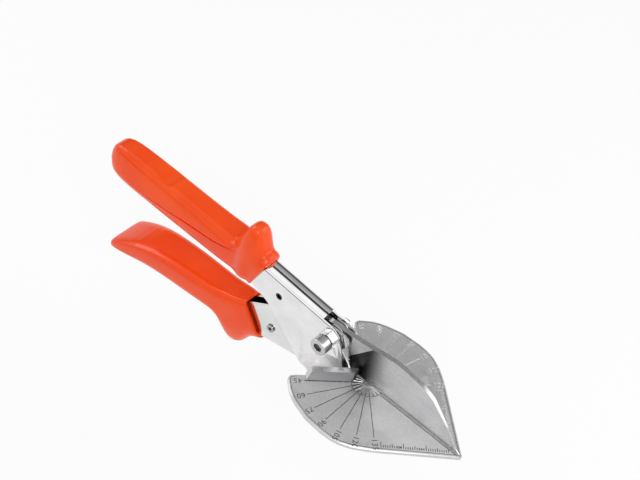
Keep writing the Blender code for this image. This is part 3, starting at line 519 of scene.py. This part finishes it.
# The blade: a flat of tool steel, ground thin from a slanted line down to its edge on both
# sides. The grinding marks run along it, and its colour grows darker towards its heel, a
# painted shade.
BLADE_HALF = 1.25
BLADE_OUTLINE = (
    (-11.8, 22.0), (-1.7, 23.6), (6.0, 25.2), (11.0, 25.9), (16.0, 25.7), (21.0, 25.0),
    (26.0, 23.9), (30.0, 22.4), (33.2, 20.6), (42.7, 11.2), (49.9, 2.0), (51.9, 0.6),
    (52.5, 0.3), (-10.0, 0.3), (-12.3, 4.8), (-16.8, 9.8), (-21.3, 12.2), (-31.3, 10.3),
    (-35.8, 10.8), (-36.8, 14.8), (-34.8, 18.4), (-28.3, 20.6), (-21.3, 21.4),
)
GRIND_START = Vector((-11.8, 9.7))
GRIND_WAY = Vector((0.601, 0.799))
GRIND_ROWS = (-0.4, 0, 0.5, 1.2, 2.2, 3.5, 5.5, 8, 11, 22, 44, 80)
GRIND_COLUMNS = 30
GRIND_BACK = -20
GRIND_SPAN = 60
GRIND_ROUND = 11
SPINE_GRIND = 0.12
EDGE_GRIND = 1.05
SPINE_TOP = 25.9
DROP_LIMITS = (-0.1, 1.1)
WHEEL_WIDTH = 3
WHEEL_BITE = 0.02
WHEEL_CLEAR = 0.1
BLADE_HOLES = ((-21.3, 17.8, 2.8), (-31.8, 14.5, 1.8))
HOLE_LENGTH = 6
HOLE_FLATS = 32
ACROSS = (math.pi / 2, 0, 0)
HEEL_DARK = -0.0035
HEEL_CLEAR = 0.0095
HEEL_TONE = 0.03
FACE_MARGIN = 0.02
SPINE_FACING = 0.5


def drawn_out(piece, way):
    """Draws a flat piece out to a closed block."""
    picked(piece)
    bpy.ops.object.mode_set(mode="EDIT")
    bpy.ops.mesh.select_all(action="SELECT")
    bpy.ops.mesh.extrude_region_move(TRANSFORM_OT_translate={"value": way})
    bpy.ops.mesh.select_all(action="SELECT")
    bpy.ops.mesh.normals_make_consistent(inside=False)
    bpy.ops.object.mode_set(mode="OBJECT")


def upright_block(name, outline, half):
    """A block across the shears, with its outline given along and up in millimetres."""
    bpy.ops.object.select_all(action="DESELECT")
    bpy.ops.mesh.primitive_circle_add(vertices=len(outline), radius=1, fill_type="NGON")
    block = bpy.context.object
    block.name = name
    for point, (x, z) in zip(block.data.vertices, outline):
        point.co = (x * MM, -half * MM, PLATE_TOP + z * MM)
    drawn_out(block, (0, 2 * half * MM, 0))
    return block


def merged(piece, other, how):
    """A piece joined with another, cut by it, or kept only where both are."""
    applied(piece, "BOOLEAN", operation=how, object=other)
    bpy.data.objects.remove(other)


def round_cut(piece, centre, radius, length, flats, turn=ACROSS):
    """Cuts a piece with a cylinder, in millimetres along, across and up from the hub."""
    x, y, z = centre
    bpy.ops.object.select_all(action="DESELECT")
    bpy.ops.mesh.primitive_cylinder_add(vertices=flats, radius=radius * MM, depth=length * MM,
                                        location=(x * MM, y * MM, PLATE_TOP + z * MM),
                                        rotation=turn)
    merged(piece, bpy.context.object, "DIFFERENCE")


def grinding_wheel(side):
    """What the wheel takes off one face: nothing at the slanted line, most at the edge."""
    rows = len(GRIND_ROWS) - 1
    across = Vector((GRIND_WAY.y, -GRIND_WAY.x))
    bpy.ops.object.select_all(action="DESELECT")
    bpy.ops.mesh.primitive_grid_add(x_subdivisions=GRIND_COLUMNS, y_subdivisions=rows, size=2)
    wheel = bpy.context.object
    for point in wheel.data.vertices:
        along = GRIND_BACK + GRIND_SPAN * (point.co.x + 1) / 2
        reach = GRIND_ROWS[round((point.co.y + 1) / 2 * rows)]
        spot = GRIND_START + GRIND_WAY * along + across * reach
        drop = (SPINE_TOP - spot.y) / SPINE_TOP
        drop = min(max(drop, DROP_LIMITS[0]), DROP_LIMITS[1])
        depth = SPINE_GRIND + (EDGE_GRIND - SPINE_GRIND) * drop
        depth *= 1 - (1 - min(max(reach, 0), GRIND_ROUND) / GRIND_ROUND) ** 2
        depth += WHEEL_BITE if reach >= 0 else -WHEEL_CLEAR
        point.co = (spot.x * MM, side * (BLADE_HALF - depth) * MM, PLATE_TOP + spot.y * MM)
    drawn_out(wheel, (0, side * WHEEL_WIDTH * MM, 0))
    return wheel


ground = metal("ground_steel", (0.74, 0.74, 0.745), 0.29, (0.040, 0.0010, 0.0009), 0.05,
               0.0000010)
tree = ground.node_tree
base = tree.nodes["Principled BSDF"].inputs["Base Color"]
point = tree.nodes.new("ShaderNodeTexCoord")
apart = tree.nodes.new("ShaderNodeSeparateXYZ")
tree.links.new(point.outputs["Object"], apart.inputs[0])
# Painted shade: the steel's colour falls towards the heel, along X.
heel = ranged(tree, apart.outputs["X"], (HEEL_DARK, HEEL_CLEAR), (HEEL_TONE, 1))
heel.interpolation_type = "SMOOTHSTEP"
painted_heel_shade = multiplied(tree, heel)
tree.links.new(base.links[0].from_socket, painted_heel_shade.inputs["A"])
tree.links.new(painted_heel_shade.outputs["Result"], base)
milled = metal("milled_steel", (0.55, 0.55, 0.555), 0.3, (0.0100, 0.0006, 0.0006), 0.05,
               0.000001)
blade = upright_block("ground_blade", BLADE_OUTLINE, BLADE_HALF)
merged(blade, grinding_wheel(-1), "DIFFERENCE")
merged(blade, grinding_wheel(1), "DIFFERENCE")
for x, z, radius in BLADE_HOLES:
    round_cut(blade, (x, 0, z), radius, HOLE_LENGTH, HOLE_FLATS)
broken_edges(blade, 0.00008, fold=30, smooth=20)
blade.data.materials.append(ground)
blade.data.materials.append(milled)
for face in blade.data.polygons:
    flat_side = abs(face.center.y) > (BLADE_HALF - FACE_MARGIN) * MM
    behind = face.center.x < GRIND_START.x * MM
    if flat_side or behind or face.normal.z > SPINE_FACING:
        face.material_index = 1
fit_out(blade, None, "lever", "blade")

# The angle fence: a casting with two arms, a round hub and a stem. Its hub lies flush in
# the plate, with strokes engraved round it, dark and bright in turn: painted shade and painted
# highlight of the grooves' flanks. Its arms are coloured bright on top and dark on the near
# side, painted light and shade, with a painted shadow round their foot.
STROKE_START = 0.0024
STROKE_END = 0.0076
STROKES = 25
ARM_TOP_START = 0.0012
ARM_SIDE_START = 0.0007
ARM_FOOT_SHADE = (0.0001, 0.0008)
TOP_FACING = 0.6
NEAR_FACING = -0.7
fence = worked_copy("angle_fence", "cast_fence")
fence_marks = ([], [])
# Strokes alternate dark and bright: painted shade and painted highlight of groove flanks.
for step in range(STROKES):
    turn = math.pi * step / (STROKES - 1)
    for side in (-1, 1):
        way = Vector((math.cos(turn), side * math.sin(turn)))
        fence_marks[step % 2].append(engraved_bar(way * STROKE_START, way * STROKE_END,
                                                  LINE_WIDTH))
fence.data.materials.append(None)
engraved(fence, fence_marks[0], "dark_strokes", dark_engraving_and_shade)
engraved(fence, fence_marks[1], "bright_strokes", painted_highlight_lining)
broken_edges(fence, 0.0003, fold=60, smooth=12)
painted_shade_side = metal("fence_painted_shade_side", (0.27, 0.27, 0.275), 0.36, (0.0007, 0.0007, 0.0007), 0.06,
             0.0000006)
painted_lit_top = metal("fence_painted_lit_top", (0.80, 0.80, 0.805), 0.3, (0.0060, 0.0006, 0.0006), 0.06,
              0.0000006)
fence.data.materials[0] = satin
for finish in (painted_shade_side, painted_lit_top, dark_engraving_and_shade):
    if finish.name not in fence.data.materials:
        fence.data.materials.append(finish)
finishes = [finish.name for finish in fence.data.materials]
for face in fence.data.polygons:
    if face.material_index:
        continue
    above = face.center.z - PLATE_TOP
    # The arms' tops take the light finish and their near sides the dark one: painted light and
    # shade.
    if above > ARM_TOP_START and face.normal.z > TOP_FACING:
        face.material_index = finishes.index("fence_painted_lit_top")
    elif above > ARM_SIDE_START and face.normal.y < NEAR_FACING and face.center.y < 0:
        face.material_index = finishes.index("fence_painted_shade_side")
    # A low band round the arms' foot takes the dark finish: a painted shadow under the arm.
    elif ARM_FOOT_SHADE[0] < above < ARM_FOOT_SHADE[1] and face.normal.z < TOP_FACING:
        face.material_index = finishes.index("dark_engraving_and_painted_shade")
fit_out(fence, None, "fence", "angle_fence")

# Fasteners: the pivot's socket screw, its collar and clinched nut, pins and spacers, the
# fence's spring washer and nut. They are turned or formed from steel and nickelled.
nickel = metal("bright_nickel", (0.57, 0.565, 0.56), 0.33, (0.0010, 0.0010, 0.0010), 0.05,
               0.000003)
blackened = metal("blackened_steel", (0.05, 0.05, 0.05), 0.4, (0.0008, 0.0008, 0.0008), 0.1,
                  0.000003)
FASTENER_BREAK = 0.0002
SOCKET_RIM = 0.0001
SOCKET_DEPTH = 0.0032
SOCKET_REACH = 0.0025
FASTENERS = (
    ("pivot_screw", "socket_screw", "frame"),
    ("pivot_collar", "screw_collar", "frame"),
    ("pivot_nut", "clinched_nut", "frame"),
    ("spring_pin", "hollow_pin", "frame"),
    ("foot_rivet_near", "near_foot_rivet", "frame"),
    ("foot_rivet_far", "far_foot_rivet", "frame"),
    ("blade_pin", "cross_pin", "lever"),
    ("blade_spacer_near", "near_spacer", "lever"),
    ("blade_spacer_far", "far_spacer", "lever"),
    ("fence_spring_washer", "spring_washer", "fence"),
    ("fence_nut", "stem_nut", "fence"),
)
for node, name, body in FASTENERS:
    fastener = worked_copy(node, name)
    broken_edges(fastener, FASTENER_BREAK)
    fastener.data.materials.append(blackened if node == "spring_pin" else nickel)
    # The socket's inside takes the darker nickel: painted shade in the recess.
    if node == "pivot_screw":
        fastener.data.materials.append(worn_nickel_and_socket_shade)
        low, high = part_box(node)
        middle = (low + high) / 2
        for face in fastener.data.polygons:
            out = Vector((face.center.x - middle.x, face.center.z - middle.z))
            at_socket = low.y + SOCKET_RIM < face.center.y < low.y + SOCKET_DEPTH
            if at_socket and out.length < SOCKET_REACH:
                face.material_index = 1
    fit_out(fastener, None, body, node)

# The return spring: hard drawn wire wound on the hollow pin. Its short leg bears on the
# frame's roof, and its long leg reaches to the lever.
spring_wire = metal("drawn_wire", (0.42, 0.42, 0.43), 0.3, (0.0005, 0.0005, 0.0005), 0.08,
                    0.000002)
LEG_FACE = 0.006
LEG_CUTS = 14
spring = worked_copy("return_spring", "wound_spring")
bpy.ops.object.mode_set(mode="EDIT")
bpy.ops.mesh.select_mode(type="FACE")
shape = bmesh.from_edit_mesh(spring.data)
for face in shape.faces:
    heights = [point.co.z for point in face.verts]
    face.select = max(heights) - min(heights) > LEG_FACE
shape.select_flush(True)
bpy.ops.mesh.subdivide(number_cuts=LEG_CUTS)
bpy.ops.object.mode_set(mode="OBJECT")
broken_edges(spring, 0, smooth=60)
spring.data.materials.append(spring_wire)
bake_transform(spring)
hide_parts("return_spring")

# The grips: orange plastic sleeves, dipped and pushed over the two tangs while hot. The
# plastic is glossy with a faint pimple, and its orange is a little uneven.
PATCH_SCALE = 45
PATCH_DETAIL = 3
PIMPLE_SCALE = 1400
PIMPLE_DETAIL = 2
PIMPLE_DEPTH = 0.000006
GLOSS_RANGE = (0.18, 0.27)
SKIN_VOXEL = 0.00035
CORNER_CUTS = 7
CORNER_REACH = 0.999
plastic = bpy.data.materials.new("orange_plastic")
plastic.use_nodes = True
tree = plastic.node_tree
shader = tree.nodes["Principled BSDF"]
shader.inputs["Specular IOR Level"].default_value = 0.36
shader.inputs["IOR"].default_value = 1.45
point = tree.nodes.new("ShaderNodeTexCoord")
patches = noise(tree, point.outputs["Object"], PATCH_SCALE, PATCH_DETAIL)
shade = tree.nodes.new("ShaderNodeValToRGB")
shade.color_ramp.elements[0].position = 0.32
shade.color_ramp.elements[0].color = (0.90, 0.062, 0.002, 1)
shade.color_ramp.elements[1].position = 0.68
shade.color_ramp.elements[1].color = (0.94, 0.084, 0.004, 1)
tree.links.new(patches.outputs["Fac"], shade.inputs["Fac"])
tree.links.new(shade.outputs["Color"], shader.inputs["Base Color"])
skin = noise(tree, point.outputs["Object"], PIMPLE_SCALE, PIMPLE_DETAIL)
gloss = ranged(tree, skin.outputs["Fac"], (0, 1), GLOSS_RANGE)
tree.links.new(gloss.outputs["Result"], shader.inputs["Roughness"])
embossed(tree, skin, PIMPLE_DEPTH)


def drawn_sleeve(name, sections, high_corner, low_corner, lean=0):
    """A rounded square drawn out through sections, each given in millimetres: its top and
    its low point along and up, its half width, and the share of its height where it is
    widest. Its sides lean in towards the top by a share of the half width."""
    bpy.ops.object.select_all(action="DESELECT")
    bpy.ops.mesh.primitive_plane_add(size=2)
    sleeve = bpy.context.object
    sleeve.name = name
    bpy.ops.object.mode_set(mode="EDIT")
    bpy.ops.mesh.select_mode(type="VERT")
    for corner, side in ((high_corner, 1), (low_corner, -1)):
        bpy.ops.mesh.select_all(action="DESELECT")
        shape = bmesh.from_edit_mesh(sleeve.data)
        for point in shape.verts:
            at_corner = abs(point.co.x) > CORNER_REACH
            point.select = at_corner and point.co.y * side > CORNER_REACH
        shape.select_flush(True)
        bpy.ops.mesh.bevel(offset=corner, segments=CORNER_CUTS, affect="VERTICES")
    shape = bmesh.from_edit_mesh(sleeve.data)
    ring = shape.verts.layers.float_vector.new("ring")
    for point in shape.verts:
        point[ring] = point.co
    bpy.ops.mesh.select_all(action="SELECT")
    for index, (top_x, top_z, low_x, low_z, half, widest) in enumerate(sections):
        if index:
            bpy.ops.mesh.extrude_region_move()
        shape = bmesh.from_edit_mesh(sleeve.data)
        ring = shape.verts.layers.float_vector["ring"]
        for point in shape.verts:
            if point.select:
                across, up = point[ring][:2]
                rise = widest * (1 + up) if up < 0 else widest + (1 - widest) * up
                across *= 1 - lean * max(up, 0)
                point.co = Vector((low_x + (top_x - low_x) * rise, across * half,
                                   low_z + (top_z - low_z) * rise)) * MM
                point.co.z += PLATE_TOP
        bmesh.update_edit_mesh(sleeve.data)
    bpy.ops.mesh.select_all(action="SELECT")
    bpy.ops.mesh.normals_make_consistent(inside=False)
    bpy.ops.object.mode_set(mode="OBJECT")
    applied(sleeve, "SUBSURF", levels=1, render_levels=1)
    return sleeve


def moulded(piece, passes):
    """The piece's skin in even small faces, with its inside corners filled as in a mould."""
    applied(piece, "REMESH", mode="VOXEL", voxel_size=SKIN_VOXEL)
    applied(piece, "SMOOTH", factor=0.5, iterations=passes)


# The upper sleeve: a narrower core with a raised cushion over its top and sides, which
# ends in a step before the knob that keeps the hand off the blade. Its mouth shows the
# thickness of the plastic round the frame's tang.
UPPER_CORE = (
    (-165.2, 22.6, -165.2, 17.8, 2.0, 0.5), (-164.8, 26.2, -164.9, 15.6, 3.8, 0.5),
    (-162.8, 30.1, -163.0, 13.1, 5.5, 0.5), (-158.6, 32.2, -158.8, 11.6, 6.7, 0.5),
    (-150, 32.2, -150, 11.0, 7.2, 0.5), (-135, 31.5, -135, 10.8, 7.2, 0.5),
    (-115, 30.7, -115, 10.6, 7.2, 0.5), (-98, 29.9, -98.5, 10.4, 7.2, 0.5),
    (-88, 29.3, -89, 10.2, 7.0, 0.5), (-83.5, 30.2, -85, 10.1, 6.6, 0.46),
    (-80.4, 35.4, -81.9, 10.0, 6.4, 0.38), (-77.8, 41.6, -80.0, 9.9, 6.9, 0.33),
    (-75.4, 44.6, -78.2, 9.9, 7.8, 0.31), (-72.2, 44.7, -76.4, 9.9, 8.1, 0.31),
    (-70.0, 42.9, -75, 9.9, 8.0, 0.32), (-68.6, 38.0, -73.8, 9.8, 7.3, 0.38),
    (-67.0, 33.4, -72.8, 9.8, 6.8, 0.46), (-66.0, 31.9, -72.0, 9.8, 6.9, 0.47),
    (-64.9, 31.6, -71.3, 9.8, 7.4, 0.48), (-63.2, 30.4, -70.8, 9.8, 7.4, 0.5),
    (-61.8, 29.2, -70.4, 9.9, 7.2, 0.5),
)
UPPER_CUSHION = (
    (-165.4, 22.8, -165.4, 17.6, 2.4, 0.5), (-165.0, 26.6, -165.1, 15.4, 4.4, 0.5),
    (-163.0, 30.6, -163.2, 13.0, 6.7, 0.5), (-158.8, 32.8, -159, 11.6, 8.4, 0.5),
    (-150, 33.0, -150, 11.0, 9.4, 0.5), (-135, 32.4, -135, 10.8, 9.6, 0.5),
    (-115, 31.7, -115, 10.6, 9.7, 0.5), (-98, 31.0, -98.5, 10.4, 10.0, 0.5),
    (-88, 30.6, -89, 10.2, 10.7, 0.5), (-78, 31.3, -78.6, 10.1, 11.8, 0.5),
)
CUSHION_SIDE = (
    (-170, 24), (-161, 21.4), (-157, 19.8), (-148.4, 18.5), (-136, 19.5), (-123.4, 20.6),
    (-110.3, 22.2), (-94.2, 23.9), (-80.8, 27.0), (-80.8, 50), (-170, 50),
)
LEDGE_LINE = 2.7
LEDGE_BOTTOM = 6.3
UPPER_SPAN = ((-170, 5), (-60, 5), (-60, 50), (-170, 50))
GUARD_GROOVE = (-68.0, 8.2, 41)
GROOVE_RADIUS = 2.6
GROOVE_LENGTH = 20
GROOVE_FLATS = 48
GROOVE_TILT = math.radians(-24)
SADDLE_X = -128.6
SADDLE_Z = 41.9
SADDLE_RADIUS = 11
SADDLE_LENGTH = 30
SADDLE_FLATS = 64
PAST_SIDES = 12
UPPER_POCKET = (
    (-145.3, 27.1), (-110, 27.1), (-69, 27.4), (-62, 27.2), (-56.5, 26.7), (-56.5, 5.5),
    (-59.1, 7.3), (-62, 8.7), (-69, 10.9), (-75, 11.6), (-90, 12.7), (-110, 13.5),
    (-128, 13.9), (-145.3, 14.2),
)
POCKET_HALF = 5.1
upper = drawn_sleeve("upper_sleeve", UPPER_CORE, 0.8, 0.62)
cushion = drawn_sleeve("cushion", UPPER_CUSHION, 0.4, 0.62, 0.36)
merged(cushion, upright_block("cushion_side", CUSHION_SIDE, PAST_SIDES), "INTERSECT")
merged(upper, cushion, "UNION")
round_cut(upper, (SADDLE_X, 0, SADDLE_Z), SADDLE_RADIUS, SADDLE_LENGTH, SADDLE_FLATS)
for side in (-1, 1):
    x, y, z = GUARD_GROOVE
    round_cut(upper, (x, side * y, z), GROOVE_RADIUS, GROOVE_LENGTH, GROOVE_FLATS,
              (0, GROOVE_TILT, 0))
moulded(upper, 4)
ledge = CUSHION_SIDE[1:-2]
under_ledge = [(x, z - LEDGE_LINE) for x, z in reversed(ledge)]
line_tool = upright_block("line_tool", (*ledge, *under_ledge), PAST_SIDES)
merged(line_tool, upright_block("line_inside", UPPER_SPAN, LEDGE_BOTTOM), "DIFFERENCE")
merged(upper, line_tool, "DIFFERENCE")
merged(upper, upright_block("upper_pocket", UPPER_POCKET, POCKET_HALF), "DIFFERENCE")
broken_edges(upper, 0, smooth=45)
fit_out(upper, plastic, "frame", "upper_grip")

# The lower sleeve: broad and flat on top, where the fingers pull, with a firm edge along
# each side, a kicked up rear end and a hooked front. Its mouth is open round the lever.
LOWER_SECTIONS = (
    (-156.8, -28.0, -157.0, -31.6, 9.4, 0.5), (-156.0, -26.6, -156.2, -32.4, 10.6, 0.55),
    (-152.4, -24.0, -152.2, -32.4, 11.2, 0.58), (-145, -19.2, -144, -31.2, 11.3, 0.6),
    (-135, -14.4, -134, -28.7, 10.8, 0.6), (-124, -11.7, -122, -27.2, 10.2, 0.58),
    (-110, -9.8, -106, -26.2, 9.8, 0.56), (-97, -9, -92.6, -25.2, 9.2, 0.54),
    (-91, -8.3, -86.8, -25.0, 8.8, 0.54), (-87, -7.5, -82.8, -29.6, 8.4, 0.6),
    (-84.2, -6.8, -80.4, -34.6, 8.2, 0.66), (-82.4, -6.3, -77.8, -37.4, 8.1, 0.66),
    (-79.6, -5.6, -74.0, -37.6, 7.9, 0.65), (-77, -4.9, -70.0, -33.8, 7.6, 0.62),
    (-75.4, -4.4, -67.2, -27.6, 7.2, 0.56), (-74, -4.0, -64.4, -24.6, 6.7, 0.53),
    (-72.4, -3.5, -61.2, -23.0, 6.2, 0.5), (-71.5, -3.2, -59.5, -21.9, 6.0, 0.5),
    (-69.7, -2.6, -57.3, -20.4, 5.8, 0.5),
)
LOWER_TRIM = ((-75.8, 3.5), (-40, 3.5), (-40, -28.6), (-55.2, -28.6))
LOWER_RECESS = ((-70.0, -3.6), (-73.0, -5.4), (-63.6, -19.4), (-60.2, -18.4))
RECESS_HALF = 4.5
LOWER_POCKET = (
    (-140.3, -21.0), (-110, -13.4), (-90, -10.3), (-76, -7.5), (-71.7, -4.9), (-57.7, 4.9),
    (-31, 20.8), (-31, -12.5), (-38.6, -14.6), (-59, -19.5), (-75, -20.9), (-92, -21.7),
    (-110, -24.3), (-140.3, -28.5),
)
LEVER_POCKET_HALF = 3.65
lower = drawn_sleeve("lower_sleeve", LOWER_SECTIONS, 0.5, 0.7)
moulded(lower, 3)
merged(lower, upright_block("lower_trim", LOWER_TRIM, PAST_SIDES), "DIFFERENCE")
merged(lower, upright_block("lower_recess", LOWER_RECESS, RECESS_HALF), "DIFFERENCE")
merged(lower, upright_block("lower_pocket", LOWER_POCKET, LEVER_POCKET_HALF), "DIFFERENCE")
broken_edges(lower, 0, smooth=45)
fit_out(lower, plastic, "lever", "lower_grip")
